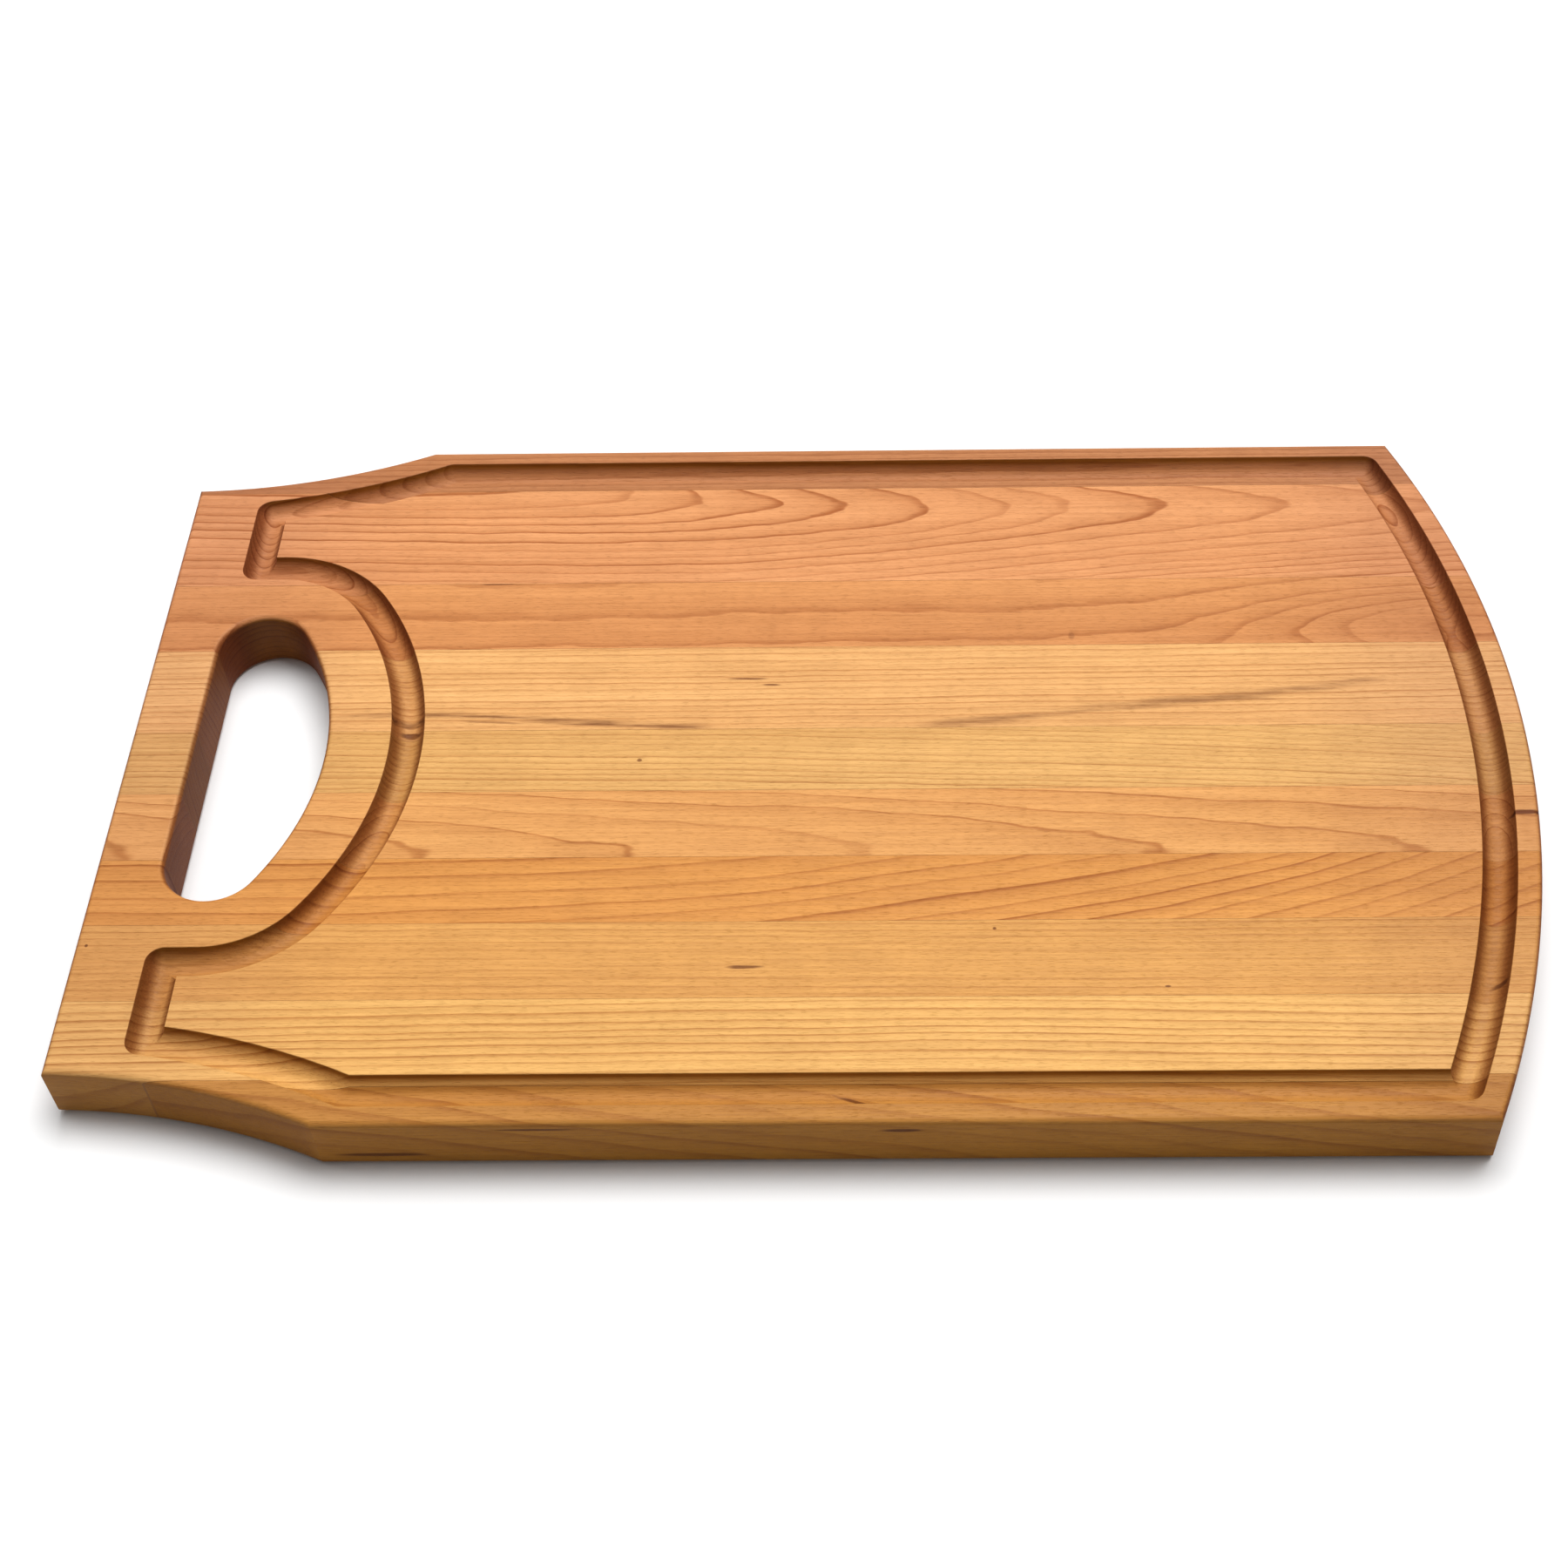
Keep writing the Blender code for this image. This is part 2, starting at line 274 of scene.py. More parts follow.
def hand_hole_outline():
    """Hand hole outline, anticlockwise from the front tip: a bow closed by a straight wall."""
    tip_centre = bow_circles(*HOLE_BOW)[1]
    radius = tip_centre.x - HANDLE_END_X - HOLE_WALL_FROM_END
    corner_centre = Vector((tip_centre.x, HOLE_BOW[1] - radius))
    corner = arc_points(corner_centre, radius, pi / 2, pi, CORNER_STEPS)[1:]
    return bow_points(*HOLE_BOW) + corner + mirrored(corner)


def groove_path():
    """Closed centre line of the groove, clockwise from the back corner of the rounded end."""
    centre, taper_radius = taper_circle()
    radius = taper_radius + GROOVE_TAPER_INSET
    side_y = WIDTH / 2 - GROOVE_SIDE_INSET
    run_x = HANDLE_END_X + GROOVE_RUN_FROM_END
    shoulder_angle = asin((side_y - centre.y) / radius)
    corner_angle = -acos((run_x - centre.x) / radius)
    back_taper = arc_points(centre, radius, corner_angle, shoulder_angle, GROOVE_TAPER_STEPS)
    end_radius = END_RADIUS - GROOVE_END_INSET
    end_centre = Vector((ROUND_END_X - END_RADIUS, 0))
    half_angle = asin(side_y / end_radius)
    end_run = arc_points(end_centre, end_radius, half_angle, -half_angle, GROOVE_END_STEPS)
    bend_start = Vector((run_x, -BEND_BOW[1]))
    bend_end = Vector((run_x, BEND_BOW[1]))
    bend = [bend_start] + bow_points(*BEND_BOW) + [bend_end]
    return end_run + mirrored(back_taper) + bend + back_taper


def left_normal(start, end):
    """Unit vector to the left of the way from start to end."""
    along = (end - start).normalized()
    return Vector((-along.y, along.x))


def groove_stations(path):
    """Offset directions along the path: (point, outer direction, inner direction).

    Every corner turns towards the island inside the loop, so the island's corner is a sharp mitre
    and the outer side is rounded by the turning cutter.
    """
    stations = []
    for index, point in enumerate(path):
        before = left_normal(path[index - 1], point)
        after = left_normal(point, path[(index + 1) % len(path)])
        mitre = (before + after) / (1 + before.dot(after))
        turn = before.angle(after)
        if turn < SHARP_TURN:
            stations.append((point, mitre, -mitre))
            continue
        fan_steps = max(2, round(turn / GROOVE_FAN_ANGLE))
        for step in range(fan_steps + 1):
            angle = -turn * step / fan_steps
            outer = Vector((
                before.x * cos(angle) - before.y * sin(angle),
                before.x * sin(angle) + before.y * cos(angle),
            ))
            stations.append((point, outer, -mitre))
    return stations


def groove_section():
    """Half-round section with eased lips, as (sideways, height)."""
    lip_centre = GROOVE_RADIUS + GROOVE_LIP
    half = []
    for step in range(LIP_STEPS + 1):
        angle = pi / 2 * step / LIP_STEPS
        half.append((
            lip_centre - GROOVE_LIP * sin(angle),
            TOP - GROOVE_LIP + GROOVE_LIP * cos(angle),
        ))
    start = asin(GROOVE_LIP / GROOVE_RADIUS)
    for step in range(1, GROOVE_SECTION_STEPS // 2 + 1):
        angle = start + (pi / 2 - start) * step / (GROOVE_SECTION_STEPS // 2)
        half.append((GROOVE_RADIUS * cos(angle), TOP - GROOVE_RADIUS * sin(angle)))
    half = [(lip_centre, TOP + OVERCUT)] + half
    return half + [(-sideways, height) for sideways, height in reversed(half[:-1])]


def make_groove_cutter():
    """Section swept round the closed path, with mitred and rounded corners."""
    sweep = bmesh.new()
    section = groove_section()
    rings = []
    for point, outer, inner in groove_stations(groove_path()):
        ring = []
        for sideways, height in section:
            direction = outer if sideways > 0 else inner
            place = point + direction * abs(sideways)
            ring.append(sweep.verts.new((place.x, place.y, height)))
        rings.append(ring)
    for index, ring in enumerate(rings):
        next_ring = rings[(index + 1) % len(rings)]
        for corner in range(len(section)):
            other = (corner + 1) % len(section)
            sweep.faces.new((ring[corner], ring[other], next_ring[other], next_ring[corner]))
    bmesh.ops.remove_doubles(sweep, verts=sweep.verts, dist=WELD_DISTANCE)
    bmesh.ops.recalc_face_normals(sweep, faces=sweep.faces)
    return object_from_bmesh("groove_cutter", sweep)


def object_from_bmesh(name, source):
    """New object that takes over a bmesh."""
    mesh = bpy.data.meshes.new(name)
    source.to_mesh(mesh)
    source.free()
    made = bpy.data.objects.new(name, mesh)
    bpy.context.scene.collection.objects.link(made)
    return made


def add_cyclic_spline(curve, points):
    """Closed outline in a flat curve."""
    spline = curve.splines.new("POLY")
    spline.points.add(len(points) - 1)
    for spline_point, point in zip(spline.points, points):
        spline_point.co = (point.x, point.y, 0, 1)
    spline.use_cyclic_u = True


def make_board_blank():
    """Board with its hand hole and rounded arrises, before it is parted into staves."""
    curve = bpy.data.curves.new("board_blank", "CURVE")
    curve.dimensions = "2D"
    curve.fill_mode = "BOTH"
    curve.extrude = TOP / 2 - EDGE_EASE
    curve.bevel_depth = EDGE_EASE
    curve.bevel_resolution = ARRIS_RESOLUTION
    curve.offset = -EDGE_EASE
    add_cyclic_spline(curve, board_outline())
    add_cyclic_spline(curve, hand_hole_outline())
    flat = bpy.data.objects.new("board_blank_curve", curve)
    bpy.context.scene.collection.objects.link(flat)
    bpy.context.view_layer.update()
    mesh = bpy.data.meshes.new_from_object(
        flat.evaluated_get(bpy.context.evaluated_depsgraph_get())
    )
    bpy.data.objects.remove(flat, do_unlink=True)
    blank = bmesh.new()
    blank.from_mesh(mesh)
    bmesh.ops.translate(blank, vec=(0, 0, TOP / 2), verts=blank.verts)
    bmesh.ops.remove_doubles(blank, verts=blank.verts, dist=WELD_DISTANCE)
    bmesh.ops.recalc_face_normals(blank, faces=blank.faces)
    return object_from_bmesh("board_blank", blank)


def make_slab(name, x_range, y_range):
    """Box through the whole thickness of the board, ready to be cut to the board's shape."""
    slab = bmesh.new()
    bmesh.ops.create_cube(slab, size=1)
    size = Vector((x_range[1] - x_range[0], y_range[1] - y_range[0], TOP + 2 * OVERCUT))
    bmesh.ops.scale(slab, vec=size, verts=slab.verts)
    middle = Vector((sum(x_range) / 2, sum(y_range) / 2, TOP / 2))
    bmesh.ops.translate(slab, vec=middle, verts=slab.verts)
    return object_from_bmesh(name, slab)


def cut_to_board(slab, blank, groove_cutter):
    """Keep what lies inside the blank and take the groove away. Flats stay flat, rounds are smooth."""
    inside = slab.modifiers.new("board_shape", "BOOLEAN")
    inside.operation = "INTERSECT"
    inside.object = blank
    groove = slab.modifiers.new("juice_groove", "BOOLEAN")
    groove.operation = "DIFFERENCE"
    groove.object = groove_cutter
    bpy.context.view_layer.update()
    mesh = bpy.data.meshes.new_from_object(
        slab.evaluated_get(bpy.context.evaluated_depsgraph_get())
    )
    slab.modifiers.clear()
    slab.data = mesh
    shaded = bmesh.new()
    shaded.from_mesh(mesh)
    bmesh.ops.remove_doubles(shaded, verts=shaded.verts, dist=WELD_DISTANCE)
    for face in shaded.faces:
        face.smooth = True
    for edge in shaded.edges:
        normals = [face.normal for face in edge.link_faces]
        if len(normals) != 2:
            edge.smooth = False
            continue
        flat = [max(abs(normal.y), abs(normal.z)) > FLAT_NORMAL for normal in normals]
        edge.smooth = not any(flat) and normals[0].angle(normals[1]) < SMOOTH_UP_TO
    shaded.to_mesh(mesh)
    shaded.free()
    mesh.name = slab.name


def piece_slab(node):
    """Slab of one stave or glue film, from the CAD node's own limits across the board."""
    low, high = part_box(node)
    hole_x = bow_circles(*HOLE_BOW)[1].x
    x_range = [HANDLE_END_X - OVERCUT, ROUND_END_X + OVERCUT]
    if node.endswith("_main"):
        x_range[0] = hole_x
    if node.endswith("_grip"):
        x_range[1] = hole_x
    if node.startswith("glue"):
        middle = (low.y + high.y) / 2
        return make_slab("fine_" + node, x_range, (middle - HALF_GLUE, middle + HALF_GLUE))
    y_range = [low.y - JOINT_CLOSING, high.y + JOINT_CLOSING]
    if low.y < cad_low.y + OVERCUT / 2:
        y_range[0] = cad_low.y - OVERCUT
    if high.y > cad_high.y - OVERCUT / 2:
        y_range[1] = cad_high.y + OVERCUT
    return make_slab("fine_" + node, x_range, y_range)


def make_pieces():
    """Fine mesh for every CAD node, by node name."""
    blank = make_board_blank()
    groove_cutter = make_groove_cutter()
    pieces = {}
    for node in sorted(frame["nodes"]):
        piece = piece_slab(node)
        cut_to_board(piece, blank, groove_cutter)
        pieces[node] = piece
    for cutter in (blank, groove_cutter):
        bpy.data.objects.remove(cutter, do_unlink=True)
    return pieces


class Graph:
    """Short calls for one node tree. A value is a number, a colour or another node's socket."""

    def __init__(self, tree):
        self.tree = tree

    def node(self, kind, **settings):
        made = self.tree.nodes.new(kind)
        for name, value in settings.items():
            setattr(made, name, value)
        return made

    def put(self, socket, value):
        """Link a socket, or set its constant."""
        if isinstance(value, bpy.types.NodeSocket):
            self.tree.links.new(value, socket)
        else:
            socket.default_value = value

    def math(self, operation, first, second=0.0, third=0.0, clamp=False):
        node = self.node("ShaderNodeMath", operation=operation, use_clamp=clamp)
        for socket, value in zip(node.inputs, (first, second, third)):
            self.put(socket, value)
        return node.outputs[0]

    def add(self, first, *others):
        for other in others:
            first = self.math("ADD", first, other)
        return first

    def minus(self, first, second):
        return self.math("SUBTRACT", first, second)

    def times(self, first, *others):
        for other in others:
            first = self.math("MULTIPLY", first, other)
        return first

    def size(self, value):
        return self.math("ABSOLUTE", value)

    def length(self, first, second):
        """Length of a right triangle's long side."""
        return self.math("SQRT", self.add(self.times(first, first), self.times(second, second)))

    def vector(self, x, y, z):
        node = self.node("ShaderNodeCombineXYZ")
        for socket, value in zip(node.inputs, (x, y, z)):
            self.put(socket, value)
        return node.outputs[0]

    def parts(self, vector):
        """The x, y and z of a vector."""
        node = self.node("ShaderNodeSeparateXYZ")
        self.put(node.inputs[0], vector)
        return node.outputs

    def noise(self, vector, detail=2.0, roughness=0.5):
        """Noise from 0 to 1 about 0.5, with one cycle for each unit of the vector."""
        node = self.node("ShaderNodeTexNoise", noise_dimensions="3D")
        self.put(node.inputs["Vector"], vector)
        self.put(node.inputs["Scale"], 1.0)
        self.put(node.inputs["Detail"], detail)
        self.put(node.inputs["Roughness"], roughness)
        return node.outputs["Fac"]

    def step(self, value, low, high, to_low=0.0, to_high=1.0):
        """Smooth step from to_low at low to to_high at high."""
        node = self.node("ShaderNodeMapRange", interpolation_type="SMOOTHSTEP")
        for name, number in (
            ("Value", value), ("From Min", low), ("From Max", high),
            ("To Min", to_low), ("To Max", to_high),
        ):
            self.put(node.inputs[name], number)
        return node.outputs[0]

    def fade(self, value, low, high):
        """Smooth step from 1 at low to 0 at high."""
        return self.step(value, low, high, 1.0, 0.0)

    def curve(self, value, points):
        """Smooth curve through a few points, both axes from 0 to 1."""
        node = self.node("ShaderNodeFloatCurve")
        line = node.mapping.curves[0]
        line.points[0].location = points[0]
        line.points[-1].location = points[-1]
        for point in points[1:-1]:
            line.points.new(*point)
        node.mapping.update()
        self.put(node.inputs["Value"], value)
        return node.outputs[0]

    def mix(self, factor, first, second, blend="MIX"):
        node = self.node("ShaderNodeMix", data_type="RGBA", blend_type=blend)
        self.put(node.inputs[0], factor)
        for socket, value in zip(node.inputs[6:8], (first, second)):
            if isinstance(value, tuple):
                value = (*value, 1.0)
            self.put(socket, value)
        return node.outputs[2]

    def multiplied(self, colour, multiplier):
        return self.mix(1.0, colour, multiplier, "MULTIPLY")

    def tinted(self, colour, factor, multiplier):
        """The colour, multiplied by another one as far as the factor says."""
        return self.mix(factor, colour, self.multiplied(colour, multiplier))

    def bump(self, height, strength, distance):
        node = self.node("ShaderNodeBump")
        node.inputs["Strength"].default_value = strength
        node.inputs["Distance"].default_value = distance
        self.put(node.inputs["Height"], height)
        return node.outputs["Normal"]


def grain_noise(graph, place, seed, along, across, detail=2.0, roughness=0.5):
    """Noise in streaks along the grain, with so many cycles a metre along and across it."""
    x, y, z = place
    streaks = graph.vector(
        graph.math("MULTIPLY_ADD", x, along, seed),
        graph.times(y, across),
        graph.times(z, across),
    )
    return graph.noise(streaks, detail, roughness)


def ring_pattern(graph, given, place):
    """Growth rings round the heart line, as (late wood, ring line), each from 0 to 1."""
    x, y, z = place
    seed = given["Seed"]
    wave = graph.add(grain_noise(graph, place, seed, *WAVE_NOISE), -0.5)
    wobble = graph.add(grain_noise(graph, place, seed, *WOBBLE_NOISE), -0.5)
    field = graph.add(
        graph.length(graph.minus(y, given["Heart Y"]), graph.minus(z, given["Heart Z"])),
        graph.times(x, given["Taper"]),
        graph.times(wave, given["Wave"]),
        graph.times(wobble, RING_WOBBLE),
        given["Figure"],
    )
    rings = graph.math("DIVIDE", field, given["Spacing"])
    uneven = graph.noise(graph.vector(graph.times(rings, UNEVENNESS_PER_RING), seed, 0.0), 1)
    rings = graph.add(rings, graph.times(uneven, RING_UNEVENNESS))
    phase = graph.math("FRACT", rings)
    pick = graph.node("ShaderNodeTexWhiteNoise", noise_dimensions="2D")
    graph.put(pick.inputs["Vector"], graph.vector(graph.math("FLOOR", rings), seed, 0.0))
    strength = graph.step(pick.outputs["Value"], 0.0, 1.0, FAINTEST_RING, 1.0)
    late = graph.times(
        graph.step(phase, 0.15, RING_END), graph.fade(phase, RING_FALL, 1.0), strength
    )
    line_start = graph.minus(RING_END, given["Width"])
    line = graph.times(
        graph.step(phase, line_start, RING_END), graph.fade(phase, RING_FALL, 0.99), strength
    )
    broken = graph.step(grain_noise(graph, place, seed, *BROKEN_LINE_NOISE), 0.3, 0.6, 0.6, 1.0)
    return late, graph.times(line, given["Line"], broken)


def long_grain_colour(graph, given, place, late, line, fibre, pore):
    """Pale wood with broad bands, rings, fibres, pores and a faint mottle."""
    seed = given["Seed"]
    pale = given["Pale"]
    band = graph.step(grain_noise(graph, place, seed, *BAND_NOISE), 0.3, 0.7, 0.0, 0.6)
    tone = graph.add(band, graph.times(late, given["Line"], 0.9), -0.1)
    tone = graph.math("MAXIMUM", tone, 0.0, clamp=True)
    colour = graph.tinted(pale, tone, DEEP_WOOD)
    colour = graph.mix(line, colour, graph.multiplied(pale, RING_WOOD))
    colour = graph.multiplied(colour, graph.mix(fibre, DARK_FIBRE, LIGHT_FIBRE))
    colour = graph.tinted(colour, graph.times(pore, PORE_STRENGTH), PORE_WOOD)
    mottle = graph.step(grain_noise(graph, place, seed, *MOTTLE_NOISE), 0.25, 0.75)
    return graph.multiplied(colour, graph.mix(mottle, DARK_MOTTLE, LIGHT_MOTTLE))


def darken_end_grain_and_paint_shade(graph, given, place, normal, end, colour):
    """End grain, arrises included, drinks more oil, and both ends of the board are darker. The darker
    recesses and long sides are painted shade.
    """
    colour = graph.tinted(colour, end, END_WOOD)
    colour = graph.tinted(colour, graph.step(graph.size(place[0]), *SOAKED_X), SOAKED_WOOD)
    # Painted shade: wood below the top that does not face down, mostly the groove, is darker
    depth = graph.minus(TOP, place[2])
    recess_shade = graph.times(graph.step(depth, *RECESS_SHADE_DEPTH), graph.step(normal[2], -0.1, 0.1))
    colour = graph.tinted(colour, recess_shade, RECESS_SHADE_WOOD)
    # Painted shade: faces that look along ±y, such as the long sides, are pulled towards one dark tone
    side = graph.times(
        graph.step(graph.size(normal[1]), 0.5, 0.95), graph.fade(normal[2], 0.2, 0.6)
    )
    to_side = graph.mix(1.0, SIDE_SHADE_TONE, given["Pale"], "DIVIDE")
    return graph.tinted(colour, graph.times(side, SIDE_SHADE_EVENNESS), to_side)


def shade_hole_walls(graph, place, normal, colour):
    """Painted shade on the walls of the hand hole."""
    x, y, z = place
    # Painted shade on the hole's walls
    hole_shade = graph.times(
        graph.step(x, *HOLE_SHADE_FAR_X),
        graph.step(x, *HOLE_SHADE_NEAR_X),
        graph.step(graph.size(y), *HOLE_SHADE_Y),
        graph.step(graph.minus(TOP, z), *HOLE_SHADE_DEPTH),
        graph.fade(normal[2], 0.0, 0.6),
        graph.step(normal[2], -0.9, -0.3),
    )
    return graph.tinted(colour, hole_shade, HOLE_SHADE_WOOD)


def cut_across_grain(graph, place, seed, normal, colour):
    """Groove across the grain, as (colour, chatter): darker, partly as the cut grain's own colour and
    partly as painted shade, with the cutter's chatter marks.
    """
    # Darker floor where the groove crosses the grain: partly its own colour, partly painted shade
    crossing = graph.times(
        graph.step(graph.minus(TOP, place[2]), *CROSSING_DEPTH),
        graph.step(normal[2], 0.05, 0.3),
        graph.step(graph.size(place[1]), *CROSSING_Y),
    )
    colour = graph.tinted(colour, crossing, CROSSING_GRAIN_AND_SHADE)
    drift = graph.times(grain_noise(graph, place, seed, *DRIFT_NOISE), CHATTER_DRIFT)
    turns = graph.add(graph.times(place[1], CHATTER_PER_METRE), drift)
    chatter = graph.times(graph.math("SINE", graph.times(turns, 2 * pi)), crossing)
    return graph.tinted(colour, graph.step(chatter, 0.0, 1.0), CHATTER_WOOD), chatter


def make_wood_group():
    """Cherry as a solid, whose outputs are its colour, roughness and height."""
    tree = bpy.data.node_groups.new("solid_cherry", "ShaderNodeTree")
    for name in RING_INPUTS:
        tree.interface.new_socket(name, in_out="INPUT", socket_type="NodeSocketFloat")
    tree.interface.new_socket("Pale", in_out="INPUT", socket_type="NodeSocketColor")
    tree.interface.new_socket("Colour", in_out="OUTPUT", socket_type="NodeSocketColor")
    for name in ("Roughness", "Height"):
        tree.interface.new_socket(name, in_out="OUTPUT", socket_type="NodeSocketFloat")
    graph = Graph(tree)
    given = graph.node("NodeGroupInput").outputs
    seed = given["Seed"]
    coordinates = graph.node("ShaderNodeTexCoord").outputs
    place = graph.parts(coordinates["Object"])
    normal = graph.parts(coordinates["Normal"])
    late, line = ring_pattern(graph, given, place)
    fibre = graph.step(grain_noise(graph, place, seed, *FIBRE_NOISE), 0.25, 0.75)
    pore = graph.step(grain_noise(graph, place, seed, *PORE_NOISE), 0.58, 0.70)
    end = graph.step(graph.size(normal[0]), 0.2, 0.8)
    colour = long_grain_colour(graph, given, place, late, line, fibre, pore)
    colour = darken_end_grain_and_paint_shade(graph, given, place, normal, end, colour)
    colour = shade_hole_walls(graph, place, normal, colour)
    colour, chatter = cut_across_grain(graph, place, seed, normal, colour)
    smudge = grain_noise(graph, place, seed, *SMUDGE_NOISE)
    roughness = graph.add(
        WOOD_ROUGHNESS, graph.times(fibre, FIBRE_ROUGHNESS),
        graph.times(end, END_ROUGHNESS), graph.times(smudge, SMUDGE_ROUGHNESS),
    )
    height = graph.add(
        graph.times(fibre, FIBRE_HEIGHT), graph.times(pore, PORE_HEIGHT),
        graph.times(line, RING_HEIGHT), graph.times(chatter, CHATTER_HEIGHT),
    )
    results = graph.node("NodeGroupOutput").inputs
    graph.put(results["Colour"], colour)
    graph.put(results["Roughness"], roughness)
    graph.put(results["Height"], height)
    return tree


def new_material(name):
    """A material with its graph and its Principled shader."""
    material = bpy.data.materials.new(name)
    material.use_nodes = True
    return material, Graph(material.node_tree), material.node_tree.nodes["Principled BSDF"]


def from_handle(graph, place, x):
    """Distance beyond a line across the board, which is x from the handle end."""
    return graph.minus(place[0], HANDLE_END_X + x)


# Figures: what each adds to the distance from the heart line bends the rings. Each takes its own
# measures and gives back a function of the graph and the place.


def bulge(x, y, length, width, height):
    """A bulge of the rings, which turns straight grain into loops."""
    def field(graph, place):
        along = graph.times(from_handle(graph, place, x), 1 / length)
        across = graph.times(graph.minus(place[1], y), 1 / width)
        distance = graph.add(graph.times(along, along), graph.times(across, across))
        return graph.times(graph.math("EXPONENT", graph.times(distance, -1.0)), height)
    return field


def ridge(y, width, height, turn_x, turn, turn_length, slowing):
    """Cathedral arches: rings rise to both sides of a line, which turns aside before turn_x.

    The line straightens over turn_length. Beyond turn_x the arches slowly draw apart.
    """
    def field(graph, place):
        beyond = from_handle(graph, place, turn_x)
        rounding = graph.length(beyond, turn_length)
        aside = graph.times(graph.minus(beyond, rounding), turn / 2)
        across = graph.times(graph.add(graph.minus(place[1], y), aside), 1 / width)
        rise = graph.times(graph.length(across, 1.0), height)
        after = graph.math("MAXIMUM", beyond, 0.0)
        return graph.add(rise, graph.times(after, after, -slowing))
    return field


def arch(x, amount):
    """Grain that bows across the stave, with its crown at x."""
    def field(graph, place):
        along = from_handle(graph, place, x)
        return graph.times(along, along, amount)
    return field


def sweep(x, amount):
    """Grain that swings across the stave, more and more beyond x."""
    def field(graph, place):
        beyond = graph.math("MAXIMUM", from_handle(graph, place, x), 0.0)
        return graph.times(beyond, beyond, amount)
    return field


# Marks: each gives back a function of the graph and the place that is 0 on clean wood. Here x is
# the distance from the handle end and y is the board's own.


def fleck(x, y, half_length, half_width, slope=0.0, z=TOP, half_height=0.006, strength=0.85):
    """Small dark mark along the grain: a ragged, slightly tilted ellipsoid."""
    def mask(graph, place):
        rag = graph.add(grain_noise(graph, place, x, *FLECK_NOISE), -0.5)
        along = from_handle(graph, place, x)
        across = graph.add(
            graph.minus(place[1], y), graph.times(along, -slope), graph.times(rag, half_width)
        )
        squares = []
        for gap, half in (
            (along, half_length), (across, half_width), (graph.minus(place[2], z), half_height),
        ):
            part = graph.times(gap, 1 / half)
            squares.append(graph.times(part, part))
        return graph.step(graph.math("SQRT", graph.add(*squares)), 0.45, 1.0, strength, 0.0)
    return mask


def mineral_streak(points, half_width, strength):
    """Dark, patchy stain in the upper wood, along a curve through a few (x, y) points."""
    def mask(graph, place):
        left, right = points[0][0], points[-1][0]
        bottom = min(y for x, y in points)
        rise = max(y for x, y in points) - bottom
        along = graph.times(from_handle(graph, place, left), 1 / (right - left))
        line = graph.curve(
            along, [((x - left) / (right - left), (y - bottom) / rise) for x, y in points]
        )
        middle = graph.add(graph.times(line, rise), bottom)
        rag = graph.add(grain_noise(graph, place, left, *STREAK_EDGE_NOISE), -0.5)
        gap = graph.size(graph.add(graph.minus(place[1], middle), graph.times(rag, 2 * half_width)))
        patches = graph.step(grain_noise(graph, place, right, *STREAK_PATCH_NOISE), 0.35, 0.6, 0.35, 1.0)
        ends = graph.times(graph.step(along, 0.0, 0.1), graph.fade(along, 0.9, 1.0))
        upper = graph.step(place[2], 0.010, 0.014)
        return graph.times(graph.step(gap, 0.0, half_width, strength, 0.0), patches, ends, upper)
    return mask


def stave_material(letter, stave_look, wood_group):
    """Cherry with one stave's look."""
    material, graph, shader = new_material("cherry_" + letter)
    place = graph.parts(graph.node("ShaderNodeTexCoord").outputs["Object"])
    wood = graph.node("ShaderNodeGroup", node_tree=wood_group)
    for name in RING_INPUTS[:-1]:
        graph.put(wood.inputs[name], stave_look[name])
    graph.put(wood.inputs["Pale"], (*stave_look["Pale"], 1.0))
    if stave_look["Figure"]:
        graph.put(wood.inputs["Figure"], stave_look["Figure"](graph, place))
    colour = wood.outputs["Colour"]
    for mark in stave_look["Marks"]:
        colour = graph.tinted(colour, mark(graph, place), MARK_WOOD)
    graph.put(shader.inputs["Base Color"], colour)
    graph.put(shader.inputs["Roughness"], wood.outputs["Roughness"])
    shader.inputs["Specular IOR Level"].default_value = WOOD_SPECULAR
    graph.put(shader.inputs["Normal"], graph.bump(wood.outputs["Height"], *WOOD_BUMP))
    return material


def glue_material():
    """Dried wood glue, clouded along the joint."""
    material, graph, shader = new_material("glue")
    place = graph.parts(graph.node("ShaderNodeTexCoord").outputs["Object"])
    cloud = grain_noise(graph, place, 0.0, *GLUE_NOISE)
    graph.put(shader.inputs["Base Color"], graph.mix(cloud, DARK_GLUE, LIGHT_GLUE))
    graph.put(shader.inputs["Roughness"], graph.step(cloud, 0.3, 0.7, 0.42, 0.6))
    shader.inputs["Specular IOR Level"].default_value = WOOD_SPECULAR
    graph.put(shader.inputs["Normal"], graph.bump(cloud, *GLUE_BUMP))
    return material


def look(pale, heart, taper, spacing, line, wave, seed, width=0.3, figure=None, marks=()):
    """One stave's look.

    pale is the palest wood's colour. heart is the (y, z) of the line that the rings go round, and
    taper is how fast they widen along it. line and width are the dark ring line's strength and its
    share of a ring. wave is how far the rings wander.
    """
    return {
        "Pale": pale, "Heart Y": heart[0], "Heart Z": heart[1], "Taper": taper, "Spacing": spacing,
        "Line": line, "Width": width, "Wave": wave, "Seed": seed, "Figure": figure, "Marks": marks,
    }


